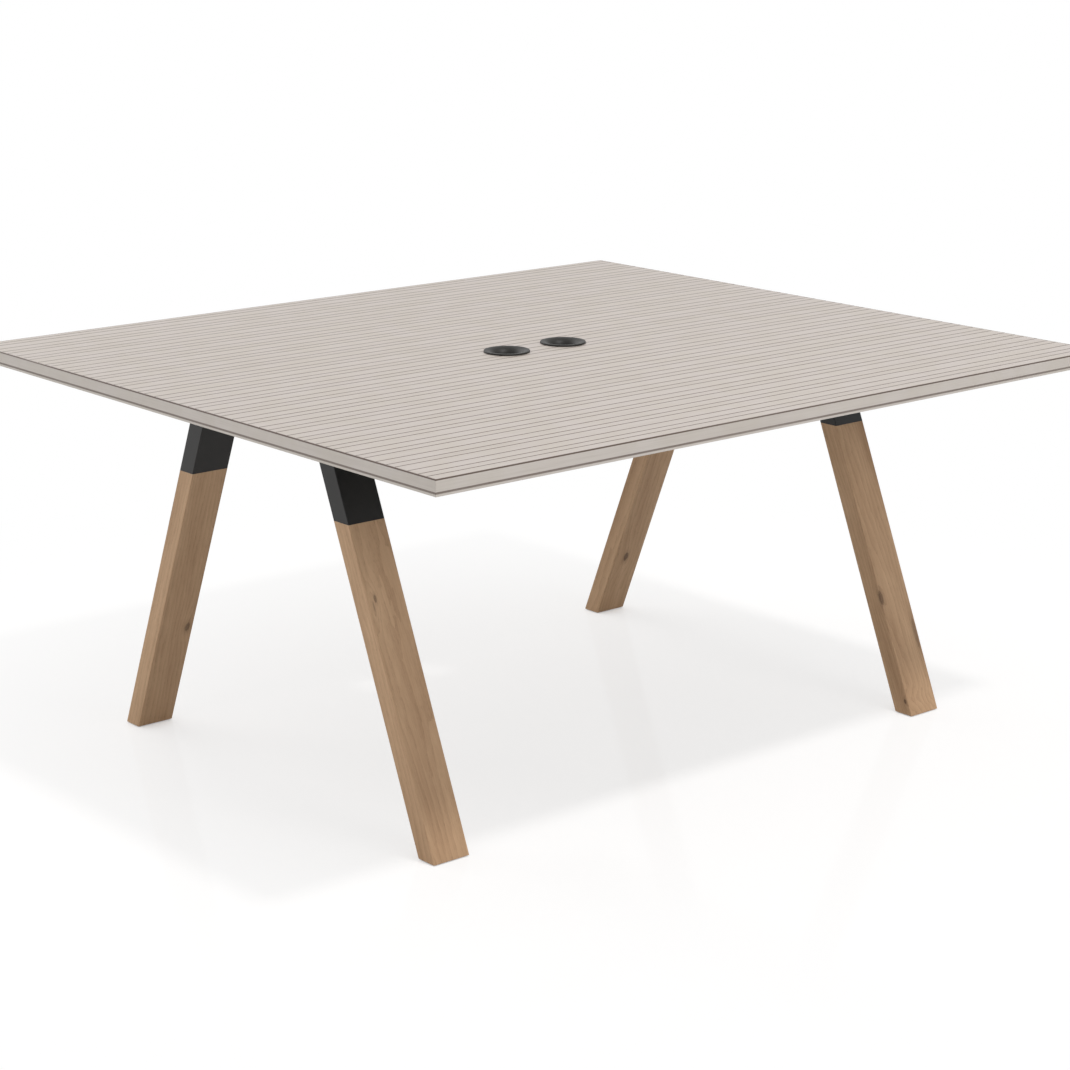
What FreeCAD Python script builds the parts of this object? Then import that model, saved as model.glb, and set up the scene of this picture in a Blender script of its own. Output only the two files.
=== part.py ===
import FreeCAD, Part
import Sketcher
import math
import os
import re

# A double desk: one broad top on two splayed trestles, each of two oak legs in black steel shoes.
# X runs along the width, Y from the front to the back, Z up; the floor's middle is the origin.

# Sizes in millimetres and degrees. Each can be set by itself; what follows from them is worked out below.
SIZES = {
    # The desk as a whole.
    "desk_width": 1600,
    "desk_depth": 1424,
    "desk_height": 740,
    # The top: a chipboard core between two laminate sheets, with a glued band on each edge.
    "core_thick": 26.4,
    "sheet_thick": 0.8,
    "band_thick": 2,
    "band_round": 0.6,
    # The oak legs, square cut at floor and shoe, leaning out towards the front and the back.
    "leg_width": 77,
    "leg_thick": 40,
    "leg_lean": 22.4,
    "leg_inset": 163,
    "leg_round": 1.5,
    "foot_spread": 978,
    "foot_gap": 2,
    "joint_height": 550,
    # The steel shoes: a box on the leg, a flanged plate under the beam, a hollow spigot in the leg.
    "shoe_wall": 3,
    "shoe_floor": 5,
    "shoe_plate": 6,
    "plate_ear": 34,
    "spigot_width": 50,
    "spigot_thick": 20,
    "spigot_wall": 3,
    "spigot_end": 6,
    "spigot_length": 110,
    "mortise_clear": 0.2,
    "access_dia": 24,
    # The beams from front to back and the rails between them.
    "beam_width": 60,
    "beam_height": 40,
    "beam_wall": 2.5,
    "beam_inset": 212,
    "beam_round": 3,
    "rail_width": 30,
    "rail_wall": 2,
    "rail_offset": 33,
    "end_thick": 5,
    "end_length": 90,
    "cap_thick": 3,
    "plug_length": 15,
    "plug_wall": 2.5,
    "plug_clear": 0.2,
    # The cable ports in the middle of the top.
    "port_spacing": 140,
    "port_hole": 80,
    "port_flange": 88,
    "port_rise": 3.5,
    "port_round": 1.5,
    "port_crest": 82,
    "port_throat": 46,
    "port_wall": 2.5,
    "port_clear": 0.3,
    "throat_drop": 24,
    "sleeve_tail": 14,
    "ring_dia": 98,
    "ring_height": 10,
    "ring_notch": 6,
    "notch_count": 16,
    # Bolts, rivet nuts and threaded inserts.
    "frame_bolt": 8,
    "frame_bolt_length": 20,
    "frame_head_dia": 14,
    "frame_head_height": 4.4,
    "frame_key": 5,
    "frame_bolt_pitch": 36,
    "rail_bolt_pitch": 64,
    "bolt_clear": 0.5,
    "thread_clear": 0.05,
    "rivet_dia": 11,
    "rivet_length": 15,
    "draw_bolt_length": 30,
    "draw_head_dia": 13,
    "draw_head_height": 8,
    "draw_key": 6,
    "draw_insert_dia": 12,
    "draw_insert_length": 25,
    "top_bolt": 6,
    "top_bolt_length": 15,
    "top_head_dia": 10.5,
    "top_head_height": 3.3,
    "top_key": 4,
    "top_access_dia": 16,
    "core_insert_dia": 9,
    "core_insert_length": 13,
    "inner_fix_offset": 60,
    "outer_fix_margin": 60,
    "rail_fix_offset": 300,
    # The levelling feet.
    "foot_dia": 30,
    "foot_height": 6,
    "foot_edge": 1.2,
    "foot_clear": 0.3,
    "foot_socket": 3.5,
    "stud_length": 29,
    "stud_room": 3,
    "foot_insert_dia": 11,
    "foot_insert_length": 14,
}

UNDERSIDE = "(desk_height - core_thick - 2 * sheet_thick)"
BEAM_BOTTOM = f"({UNDERSIDE} - beam_height)"
PLATE_BOTTOM = f"({BEAM_BOTTOM} - shoe_plate)"
LEG_X = "(desk_width / 2 - leg_inset - leg_width / 2)"
BEAM_INNER = f"({LEG_X} - beam_width / 2)"
BEAM_END = "(desk_depth / 2 - beam_inset)"
CORNERS = {
    "front_left": (-1, 0),
    "front_right": (1, 0),
    "back_left": (-1, 180),
    "back_right": (1, 180),
}
SIDES = {"left": -1, "right": 1}

doc = FreeCAD.newDocument("double_desk")
sheet = doc.addObject("Spreadsheet::Sheet", "Sizes")
for row, (alias, number) in enumerate(SIZES.items(), start=1):
    sheet.set(f"A{row}", alias)
    sheet.set(f"B{row}", str(number))
    sheet.setAlias(f"B{row}", alias)
doc.recompute()


def sized(text):
    """The expression on the sheet that a text with the sheet's names stands for."""
    return re.sub(r"[a-z]+(_[a-z]+)+", lambda found: f"Sizes.{found.group()}", text)


def number_of(text):
    """What an expression comes to now."""
    return float(sheet.evalExpression(sized(text)))


def signed(sign, text):
    return text if sign > 0 else f"-({text})"


def place(item, x="0", y="0", z="0", turn=0):
    """Puts an item at a point of the desk, turned about the upright."""
    item.Placement = FreeCAD.Placement(FreeCAD.Vector(), FreeCAD.Rotation(FreeCAD.Vector(0, 0, 1), turn))
    for axis, text in zip("xyz", (x, y, z)):
        item.setExpression(f"Placement.Base.{axis}", sized(text))


def place_at_corner(item, corner):
    """Puts a piece drawn for the front leg's plane at one of the four legs."""
    side, turn = CORNERS[corner]
    place(item, x=signed(side, LEG_X), turn=turn)


def new_body(label):
    body = doc.addObject("PartDesign::Body", label)
    body.Label = label
    return body


def new_sketch(body, name, role, level=None):
    """An empty sketch on one of the body's own planes, or at a level above it."""
    sketch = body.newObject("Sketcher::SketchObject", name)
    plane = next(item for item in body.Origin.OriginFeatures if item.Role == role)
    sketch.AttachmentSupport = [(plane, "")]
    sketch.MapMode = "FlatFace"
    if level:
        sketch.setExpression("AttachmentOffset.Base.z", sized(level))
    return sketch


def pin(sketch, geometry, spot, x=None, y=None):
    """Holds a point of a sketch at its distances from the sketch's origin."""
    for kind, text, line in (("DistanceX", x, -2), ("DistanceY", y, -1)):
        if text is None:
            continue
        if text == "0":
            sketch.addConstraint(Sketcher.Constraint("PointOnObject", geometry, spot, line))
            continue
        index = sketch.addConstraint(Sketcher.Constraint(kind, -1, 1, geometry, spot, number_of(text)))
        sketch.setExpression(f"Constraints[{index}]", sized(text))


def vector(x, y):
    return FreeCAD.Vector(number_of(x), number_of(y), 0)


def outline(body, name, role, points, level=None, axis=None):
    """A closed outline of straight lines, with a line to turn about if the piece has one."""
    sketch = new_sketch(body, name, role, level)
    count = len(points)
    for index, point in enumerate(points):
        following = points[(index + 1) % count]
        sketch.addGeometry(Part.LineSegment(vector(*point), vector(*following)))
    for index, point in enumerate(points):
        sketch.addConstraint(Sketcher.Constraint("Coincident", index, 2, (index + 1) % count, 1))
        pin(sketch, index, 1, *point)
    if axis:
        line = sketch.addGeometry(Part.LineSegment(vector(*axis[0]), vector(*axis[1])), True)
        pin(sketch, line, 1, *axis[0])
        pin(sketch, line, 2, *axis[1])
    return sketch


def rectangle(x_low, x_high, y_low, y_high):
    return [(x_low, y_low), (x_high, y_low), (x_high, y_high), (x_low, y_high)]


def circles(body, name, role, centres, diameter, level):
    """Equal circles, each at its own point."""
    sketch = new_sketch(body, name, role, level)
    for index, centre in enumerate(centres):
        sketch.addGeometry(Part.Circle(vector(*centre), FreeCAD.Vector(0, 0, 1), number_of(diameter) / 2))
        pin(sketch, index, 3, *centre)
        size = sketch.addConstraint(Sketcher.Constraint("Diameter", index, number_of(diameter)))
        sketch.setExpression(f"Constraints[{size}]", sized(diameter))
    return sketch


def hexagon(body, name, across, level):
    """A hexagon about the upright, for a key."""
    corner = f"({across}) / (2 * cos(30))"
    points = []
    for step in range(6):
        turn = 60 * step + 30
        points.append((f"{corner} * cos({turn})", f"{corner} * sin({turn})"))
    return outline(body, name, "XY_Plane", points, level)


def extrude(kind, body, name, sketch, length, symmetric=False, back=False):
    feature = body.newObject(f"PartDesign::{kind}", name)
    feature.Profile = sketch
    feature.setExpression("Length", sized(length))
    feature.SideType = "Symmetric" if symmetric else "One side"
    feature.Reversed = back
    sketch.Visibility = False
    return feature


def pad(body, name, sketch, length, symmetric=False, back=False):
    return extrude("Pad", body, name, sketch, length, symmetric, back)


def pocket(body, name, sketch, length, symmetric=False, back=False):
    return extrude("Pocket", body, name, sketch, length, symmetric, back)


def turned(kind, body, name, sketch, line="V_Axis"):
    """A full turn of an outline about the sketch's upright or its own line."""
    feature = body.newObject(f"PartDesign::{kind}", name)
    feature.Profile = sketch
    feature.ReferenceAxis = (sketch, [line])
    feature.Angle = 360
    return feature


def soften(body, name, wanted, radius):
    """Rounds the edges of the body that a test picks out."""
    doc.recompute()
    solid = body.Tip
    names = []
    for index, edge in enumerate(solid.Shape.Edges, start=1):
        if wanted(edge):
            names.append(f"Edge{index}")
    feature = body.newObject("PartDesign::Fillet", name)
    feature.Base = (solid, names)
    feature.setExpression("Radius", sized(radius))
    return feature


# How far off a line or a place an edge may be to count as on it.
NEAR = 0.01


def runs_along(edge, direction):
    """Whether an edge is straight and lies along a direction."""
    if edge.Curve.TypeId != "Part::GeomLine":
        return False
    return edge.tangentAt(edge.FirstParameter).cross(direction).Length < NEAR


def lies_at(edge, **wanted):
    """Whether the whole of an edge is at the given coordinates."""
    box = edge.BoundBox
    for axis, text in wanted.items():
        at = number_of(text)
        low = getattr(box, f"{axis}Min")
        high = getattr(box, f"{axis}Max")
        if abs(low - at) > NEAR or abs(high - at) > NEAR:
            return False
    return True


ALONG_Y = FreeCAD.Vector(0, 1, 0)
LEAN = math.radians(number_of("leg_lean"))
ALONG_LEG = FreeCAD.Vector(0, math.sin(LEAN), math.cos(LEAN))

# The lines of the front leg, as distances along Y at a height.


def outer_y(height):
    return f"(-foot_spread / 2 + ({height}) * tan(leg_lean))"


def inner_y(height):
    return f"({outer_y(height)} + leg_thick / cos(leg_lean))"


def axis_y(height):
    return f"({outer_y(height)} + leg_thick / (2 * cos(leg_lean)))"


def leg_point(drop, side):
    """A point by its distance down the leg's middle line from the shoe, and out to the inner side."""
    y = f"({axis_y('joint_height')} - ({drop}) * sin(leg_lean) + ({side}) * cos(leg_lean))"
    z = f"(joint_height - ({drop}) * cos(leg_lean) - ({side}) * sin(leg_lean))"
    return y, z


def leg_slice(low, high, inset="0"):
    """The leg's outline between two heights, or one inside it by a wall."""
    wall = f"({inset}) / cos(leg_lean)"
    return [
        (f"{outer_y(low)} + {wall}", low),
        (f"{inner_y(low)} - {wall}", low),
        (f"{inner_y(high)} - {wall}", high),
        (f"{outer_y(high)} + {wall}", high),
    ]


LEG_LINE = (leg_point("0", "0"), leg_point("leg_thick", "0"))

# Where the holes are.
PORTS = [("-port_spacing / 2", "0"), ("port_spacing / 2", "0")]
EARS = [
    f"({outer_y(PLATE_BOTTOM)} - plate_ear / 2)",
    f"({inner_y(PLATE_BOTTOM)} + plate_ear / 2)",
]
SHOE_BOLTS = [(f"{across}frame_bolt_pitch / 2", ear) for across in ("-", "") for ear in EARS]
BEAM_FIXES = []
for offset in ("inner_fix_offset", f"({BEAM_END} - outer_fix_margin)"):
    for sign in (-1, 1):
        BEAM_FIXES.append(signed(sign, offset))
RAIL_LINES = [
    f"({axis_y(PLATE_BOTTOM)} + rail_offset)",
    f"-({axis_y(PLATE_BOTTOM)} + rail_offset)",
]
RAIL_BOLTS = []
for line in RAIL_LINES:
    for across in ("-", "+"):
        RAIL_BOLTS.append(f"{line} {across} rail_bolt_pitch / 2")
TOP_FIXES = []
for side in (-1, 1):
    for along in BEAM_FIXES:
        TOP_FIXES.append((signed(side, LEG_X), along, "beam_wall"))
    for line in RAIL_LINES:
        TOP_FIXES.append((signed(side, "rail_fix_offset"), line, "rail_wall"))
TOP_HOLES = [fix[:2] for fix in TOP_FIXES]


def make_board(label, low, thick):
    """A flat board or sheet as large as the top inside its edge bands, bored for the cable ports."""
    body = new_body(label)
    half_width = "(desk_width / 2 - band_thick)"
    half_depth = "(desk_depth / 2 - band_thick)"
    edges = rectangle(f"-{half_width}", half_width, f"-{half_depth}", half_depth)
    pad(body, "Slab", outline(body, "Edges", "XY_Plane", edges, low), thick)
    ports = circles(body, "PortCircles", "XY_Plane", PORTS, "port_hole", low)
    pocket(body, "PortHoles", ports, thick, back=True)
    return body


def make_core():
    """The chipboard, with a blind hole for each of the inserts that the frame is bolted to."""
    low = f"({UNDERSIDE} + sheet_thick)"
    body = make_board("desktop_core", low, "core_thick")
    inserts = circles(body, "InsertCircles", "XY_Plane", TOP_HOLES, "core_insert_dia", low)
    pocket(body, "InsertHoles", inserts, "core_insert_length + sheet_thick", back=True)
    return body


def make_backing():
    """The plain sheet under the core, pierced where the inserts are."""
    body = make_board("backing_sheet", UNDERSIDE, "sheet_thick")
    inserts = circles(body, "InsertCircles", "XY_Plane", TOP_HOLES, "core_insert_dia", UNDERSIDE)
    pocket(body, "InsertHoles", inserts, "sheet_thick", back=True)
    return body


def make_long_band(label, turn):
    """The band along the front or the back, as long as the top."""
    body = new_body(label)
    face = "-desk_depth / 2"
    section = rectangle(face, f"{face} + band_thick", UNDERSIDE, "desk_height")
    pad(body, "Strip", outline(body, "Section", "YZ_Plane", section), "desk_width", symmetric=True)

    def outer(edge):
        return lies_at(edge, Y=face)

    soften(body, "Arris", outer, "band_round")
    place(body, turn=turn)
    return body


def make_short_band(label, turn):
    """The band along one end, between the long ones."""
    body = new_body(label)
    face = "-desk_width / 2"
    section = rectangle(face, f"{face} + band_thick", UNDERSIDE, "desk_height")
    strip = outline(body, "Section", "XZ_Plane", section)
    pad(body, "Strip", strip, "desk_depth - 2 * band_thick", symmetric=True)

    def outer(edge):
        return runs_along(edge, ALONG_Y) and lies_at(edge, X=face)

    soften(body, "Arris", outer, "band_round")
    place(body, turn=turn)
    return body


def make_port(label, side):
    """A moulded cable port: a flange on the top, a sleeve in the hole and a trumpet inside the sleeve."""
    body = new_body(label)
    sleeve = "(port_hole / 2 - port_clear)"
    flange = "(port_flange / 2)"
    crest = "(port_crest / 2)"
    throat = "(port_throat / 2)"
    bend = f"({crest} - {throat})"
    low = "(-core_thick - 2 * sheet_thick - sleeve_tail)"
    blank = [
        (throat, low),
        (sleeve, low),
        (sleeve, "0"),
        (flange, "0"),
        (flange, "port_rise"),
        (throat, "port_rise"),
    ]
    turned("Revolution", body, "Blank", outline(body, "BlankOutline", "XZ_Plane", blank))

    def rim(edge):
        return lies_at(edge, Z="port_rise") and edge.BoundBox.XLength > number_of("port_crest")

    def mouth(edge):
        return lies_at(edge, Z="port_rise") and edge.BoundBox.XLength < number_of("port_crest")

    soften(body, "Rim", rim, "port_round")
    soften(body, "Trumpet", mouth, bend)
    inner = f"({sleeve} - port_wall)"
    outer = f"({throat} + port_wall)"
    roof = f"(port_rise - {bend})"
    reach = f"({bend} - port_wall)"
    hollow = new_sketch(body, "HollowOutline", "XZ_Plane")
    meet = f"({roof} + sqrt(({reach})^2 - ({crest} - {inner})^2))"
    tail = f"({low} - port_wall)"
    corners = [(inner, tail), (inner, meet), (outer, roof), (outer, tail)]
    hollow.addGeometry(Part.LineSegment(vector(*corners[0]), vector(*corners[1])))
    swing = math.acos(-number_of(f"({crest} - {inner}) / {reach}"))
    circle = Part.Circle(vector(crest, roof), FreeCAD.Vector(0, 0, 1), number_of(reach))
    hollow.addGeometry(Part.ArcOfCircle(circle, swing, math.pi))
    hollow.addGeometry(Part.LineSegment(vector(*corners[2]), vector(*corners[3])))
    hollow.addGeometry(Part.LineSegment(vector(*corners[3]), vector(*corners[0])))
    for first, second in ((0, 1), (1, 2), (2, 3), (3, 0)):
        hollow.addConstraint(Sketcher.Constraint("Coincident", first, 2, second, 1))
    pin(hollow, 0, 1, *corners[0])
    pin(hollow, 1, 1, x=inner)
    pin(hollow, 1, 3, crest, roof)
    pin(hollow, 2, 1, *corners[2])
    pin(hollow, 3, 1, *corners[3])
    turned("Groove", body, "Hollow", hollow)
    trim = rectangle("0", outer, tail, "-throat_drop")
    turned("Groove", body, "ThroatEnd", outline(body, "ThroatTrim", "XZ_Plane", trim))
    place(body, x=signed(side, "port_spacing / 2"), z="desk_height")
    return body


def make_ring(label, side):
    """The ring nut that draws a cable port down from under the top, notched for the fingers."""
    body = new_body(label)
    section = rectangle("port_hole / 2", "ring_dia / 2", "-ring_height", "0")
    turned("Revolution", body, "Ring", outline(body, "Section", "XZ_Plane", section))
    notch = circles(body, "NotchCircle", "XY_Plane", [("ring_dia / 2", "0")], "ring_notch", "-ring_height")
    cut = pocket(body, "Notch", notch, "ring_height", back=True)
    doc.recompute()
    around = body.newObject("PartDesign::PolarPattern", "Notches")
    around.Originals = [cut]
    around.Axis = (notch, ["N_Axis"])
    around.Angle = 360
    around.setExpression("Occurrences", sized("notch_count"))
    body.Tip = around
    place(body, x=signed(side, "port_spacing / 2"), z=UNDERSIDE)
    return body


def make_beam(label, side):
    """The tube under the top that carries one trestle's legs, with its rail holes on the inner side."""
    body = new_body(label)
    section = rectangle("-beam_width / 2", "beam_width / 2", BEAM_BOTTOM, UNDERSIDE)
    outer = outline(body, "Section", "XZ_Plane", section)
    pad(body, "Tube", outer, f"2 * {BEAM_END}", symmetric=True)
    soften(body, "Corners", lambda edge: runs_along(edge, ALONG_Y), "beam_round")
    half = "(beam_width / 2 - beam_wall)"
    inside = rectangle(f"-{half}", half, f"{BEAM_BOTTOM} + beam_wall", f"{UNDERSIDE} - beam_wall")
    pocket(body, "Bore", outline(body, "Inside", "XZ_Plane", inside), f"2 * {BEAM_END}", symmetric=True)
    shoes = []
    for x, y in SHOE_BOLTS:
        shoes.append((x, y))
        shoes.append((x, f"-{y}"))
    nuts = circles(body, "ShoeCircles", "XY_Plane", shoes, "rivet_dia", BEAM_BOTTOM)
    pocket(body, "ShoeHoles", nuts, "beam_wall", back=True)
    fixes = [("0", along) for along in BEAM_FIXES]
    access = circles(body, "AccessCircles", "XY_Plane", fixes, "top_access_dia", BEAM_BOTTOM)
    pocket(body, "AccessHoles", access, "beam_wall", back=True)
    clearance = circles(body, "FixCircles", "XY_Plane", fixes, "top_bolt + bolt_clear", UNDERSIDE)
    pocket(body, "FixHoles", clearance, "beam_wall")
    rails = [(along, f"{UNDERSIDE} - beam_height / 2") for along in RAIL_BOLTS]
    ends = circles(body, "RailCircles", "YZ_Plane", rails, "rivet_dia", "beam_width / 2")
    pocket(body, "RailHoles", ends, "beam_wall")
    place(body, x=signed(side, LEG_X), turn=0 if side < 0 else 180)
    return body


def make_beam_cap(label, corner):
    """The plug that closes one end of a beam."""
    body = new_body(label)
    end = BEAM_END
    cover = rectangle("-beam_width / 2", "beam_width / 2", BEAM_BOTTOM, UNDERSIDE)
    pad(body, "Cover", outline(body, "CoverOutline", "XZ_Plane", cover, end), "cap_thick")
    soften(body, "Corners", lambda edge: runs_along(edge, ALONG_Y), "beam_round")
    half = "(beam_width / 2 - beam_wall - plug_clear)"
    low = f"({BEAM_BOTTOM} + beam_wall + plug_clear)"
    high = f"({UNDERSIDE} - beam_wall - plug_clear)"
    plug = rectangle(f"-{half}", half, low, high)
    pad(body, "Plug", outline(body, "PlugOutline", "XZ_Plane", plug, end), "plug_length", back=True)
    inner = f"({half} - plug_wall)"
    hollow = rectangle(f"-{inner}", inner, f"{low} + plug_wall", f"{high} - plug_wall")
    pocket(body, "Hollow", outline(body, "HollowOutline", "XZ_Plane", hollow, end), "plug_length")
    place_at_corner(body, corner)
    return body


def make_rail(label, line):
    """A tube between the beams, with a plate welded over each end."""
    body = new_body(label)
    section = rectangle("-rail_width / 2", "rail_width / 2", BEAM_BOTTOM, UNDERSIDE)
    tube = f"2 * ({BEAM_INNER} - end_thick)"
    pad(body, "Tube", outline(body, "Section", "YZ_Plane", section), tube, symmetric=True)
    half = "(rail_width / 2 - rail_wall)"
    inside = rectangle(f"-{half}", half, f"{BEAM_BOTTOM} + rail_wall", f"{UNDERSIDE} - rail_wall")
    pocket(body, "Bore", outline(body, "Inside", "YZ_Plane", inside), tube, symmetric=True)
    plate = rectangle("-end_length / 2", "end_length / 2", BEAM_BOTTOM, UNDERSIDE)
    bolts = []
    for across in ("-", ""):
        bolts.append((f"{across}rail_bolt_pitch / 2", f"{UNDERSIDE} - beam_height / 2"))
    for name, sign in SIDES.items():
        end = signed(sign, BEAM_INNER)
        face = outline(body, f"{name}_plate_outline", "YZ_Plane", plate, end)
        pad(body, f"{name}_plate", face, "end_thick", back=sign > 0)
        holes = circles(body, f"{name}_circles", "YZ_Plane", bolts, "frame_bolt + bolt_clear", end)
        pocket(body, f"{name}_holes", holes, "end_thick", back=sign < 0)
    fixes = [("-rail_fix_offset", "0"), ("rail_fix_offset", "0")]
    access = circles(body, "AccessCircles", "XY_Plane", fixes, "top_access_dia", BEAM_BOTTOM)
    pocket(body, "AccessHoles", access, "rail_wall", back=True)
    clearance = circles(body, "FixCircles", "XY_Plane", fixes, "top_bolt + bolt_clear", UNDERSIDE)
    pocket(body, "FixHoles", clearance, "rail_wall")
    place(body, y=line)
    return body


def make_shoe(label, corner):
    """The welded shoe between a leg and its beam: box, floor, flanged plate and hollow spigot."""
    body = new_body(label)
    floor = "(joint_height + shoe_floor)"
    box = outline(body, "BoxOutline", "YZ_Plane", leg_slice("joint_height", PLATE_BOTTOM))
    pad(body, "Box", box, "leg_width", symmetric=True)
    soften(body, "Corners", lambda edge: runs_along(edge, ALONG_LEG), "leg_round")
    room = outline(body, "RoomOutline", "YZ_Plane", leg_slice(floor, PLATE_BOTTOM, "shoe_wall"))
    pocket(body, "Room", room, "leg_width - 2 * shoe_wall", symmetric=True)
    front = f"{outer_y(PLATE_BOTTOM)} - plate_ear"
    back = f"{inner_y(PLATE_BOTTOM)} + plate_ear"
    flange = rectangle(front, back, PLATE_BOTTOM, BEAM_BOTTOM)
    pad(body, "Flange", outline(body, "FlangeOutline", "YZ_Plane", flange), "beam_width", symmetric=True)
    half = "(spigot_thick / 2)"
    spigot = [
        leg_point("spigot_length", f"-{half}"),
        leg_point("spigot_length", half),
        (f"{axis_y(floor)} + {half} / cos(leg_lean)", floor),
        (f"{axis_y(floor)} - {half} / cos(leg_lean)", floor),
    ]
    tongue = outline(body, "SpigotOutline", "YZ_Plane", spigot)
    pad(body, "Spigot", tongue, "spigot_width", symmetric=True)
    inner = "(spigot_thick / 2 - spigot_wall)"
    seat = "spigot_length - spigot_end"
    bore = [
        leg_point(seat, f"-{inner}"),
        leg_point(seat, inner),
        (f"{axis_y(floor)} + {inner} / cos(leg_lean)", floor),
        (f"{axis_y(floor)} - {inner} / cos(leg_lean)", floor),
    ]
    hollow = outline(body, "SpigotBore", "YZ_Plane", bore)
    pocket(body, "SpigotHollow", hollow, "spigot_width - 2 * spigot_wall", symmetric=True)
    hole = "(frame_bolt + bolt_clear) / 2"
    drill = [
        leg_point(f"{seat} - spigot_end", "0"),
        leg_point(f"{seat} - spigot_end", hole),
        leg_point("spigot_length + spigot_end", hole),
        leg_point("spigot_length + spigot_end", "0"),
    ]
    through = outline(body, "DrawHoleOutline", "YZ_Plane", drill, axis=LEG_LINE)
    turned("Groove", body, "DrawHole", through, "Axis0")
    low = f"(joint_height - {PLATE_BOTTOM}) / cos(leg_lean) + access_dia / 2"
    high = f"(joint_height - {BEAM_BOTTOM}) / cos(leg_lean) - access_dia / 2"
    reach = [
        leg_point(low, "0"),
        leg_point(low, "access_dia / 2"),
        leg_point(high, "access_dia / 2"),
        leg_point(high, "0"),
    ]
    access = outline(body, "AccessOutline", "YZ_Plane", reach, axis=LEG_LINE)
    turned("Groove", body, "Access", access, "Axis0")
    ears = circles(body, "EarCircles", "XY_Plane", SHOE_BOLTS, "frame_bolt + bolt_clear", BEAM_BOTTOM)
    pocket(body, "EarHoles", ears, "shoe_plate")
    place_at_corner(body, corner)
    return body


FOOT_Y = axis_y("foot_gap")
FOOT_ROOF = "(foot_height + foot_clear)"


def make_leg(label, corner):
    """An oak leg with a mortise for the spigot, and holes for the draw bolt's and the foot's inserts."""
    body = new_body(label)
    sides = outline(body, "SideOutline", "YZ_Plane", leg_slice("foot_gap", "joint_height"))
    pad(body, "Blank", sides, "leg_width", symmetric=True)
    soften(body, "Arris", lambda edge: runs_along(edge, ALONG_LEG), "leg_round")
    half = "(spigot_thick / 2 + mortise_clear)"
    deep = "(spigot_length + mortise_clear)"
    slot = [
        leg_point(deep, f"-{half}"),
        leg_point(deep, half),
        leg_point("-leg_thick", half),
        leg_point("-leg_thick", f"-{half}"),
    ]
    mortise = outline(body, "MortiseOutline", "YZ_Plane", slot)
    pocket(body, "Mortise", mortise, "spigot_width + 2 * mortise_clear", symmetric=True)
    outer = "draw_insert_dia / 2"
    pilot = "(frame_bolt + bolt_clear) / 2"
    end = f"{deep} + draw_insert_length"
    tip = f"{end} + frame_bolt"
    above = f"{deep} - mortise_clear"
    steps = [
        leg_point(above, "0"),
        leg_point(above, outer),
        leg_point(end, outer),
        leg_point(end, pilot),
        leg_point(tip, pilot),
        leg_point(tip, "0"),
    ]
    drill = outline(body, "DrawOutline", "YZ_Plane", steps, axis=LEG_LINE)
    turned("Groove", body, "DrawHole", drill, "Axis0")
    cup = f"{FOOT_Y} + foot_dia / 2 + leg_round"
    nut = f"{FOOT_Y} + foot_insert_dia / 2"
    stud = f"{FOOT_Y} + (frame_bolt + bolt_clear) / 2"
    nut_top = f"{FOOT_ROOF} + foot_insert_length"
    stud_top = "foot_height - foot_socket + stud_length + stud_room"
    steps = [
        (FOOT_Y, "0"),
        (cup, "0"),
        (cup, FOOT_ROOF),
        (nut, FOOT_ROOF),
        (nut, nut_top),
        (stud, nut_top),
        (stud, stud_top),
        (FOOT_Y, stud_top),
    ]
    upright = ((FOOT_Y, "0"), (FOOT_Y, stud_top))
    well = outline(body, "FootOutline", "YZ_Plane", steps, axis=upright)
    turned("Groove", body, "FootHole", well, "Axis0")
    place_at_corner(body, corner)
    return body


def place_at_foot(item, corner, z="0"):
    """Puts a round piece on the upright of one of the four feet."""
    side, turn = CORNERS[corner]
    place(item, x=signed(side, LEG_X), y=signed(-1 if turn else 1, FOOT_Y), z=z)


def make_foot(label, corner):
    """The nylon foot under a leg, moulded around the head of its stud."""
    body = new_body(label)
    edge = "foot_dia / 2"
    socket = "frame_bolt / 2"
    steps = [
        ("0", "0"),
        (f"{edge} - foot_edge", "0"),
        (edge, "foot_edge"),
        (edge, "foot_height"),
        (socket, "foot_height"),
        (socket, "foot_height - foot_socket"),
        ("0", "foot_height - foot_socket"),
    ]
    turned("Revolution", body, "Disc", outline(body, "Section", "XZ_Plane", steps))
    place_at_foot(body, corner)
    return body


def make_stud(label, corner):
    """The threaded stud that a foot is screwed up and down on."""
    body = new_body(label)
    shank = "frame_bolt / 2 - thread_clear"
    tip = "stud_length - frame_bolt / 8"
    steps = [
        ("0", "0"),
        (shank, "0"),
        (shank, tip),
        (f"{shank} - frame_bolt / 8", "stud_length"),
        ("0", "stud_length"),
    ]
    turned("Revolution", body, "Shank", outline(body, "Section", "XZ_Plane", steps))
    place_at_foot(body, corner, z="foot_height - foot_socket")
    return body


def make_bolt(label, size, length, head_dia, head_height, key):
    """A button head bolt, head down and shank up, its seat at the origin."""
    body = new_body(label)
    shank = f"({size} / 2 - thread_clear)"
    head = f"{head_dia} / 2"
    steps = [
        ("0", f"-{head_height}"),
        (f"{head} - {head_height} / 2", f"-{head_height}"),
        (head, f"-{head_height} / 3"),
        (head, "0"),
        (shank, "0"),
        (shank, f"{length} - {size} / 8"),
        (f"{shank} - {size} / 8", length),
        ("0", length),
    ]
    turned("Revolution", body, "Blank", outline(body, "Section", "XZ_Plane", steps))
    socket = hexagon(body, "KeyOutline", key, f"-{head_height}")
    pocket(body, "Key", socket, f"{head_height} / 2", back=True)
    return body


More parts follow.
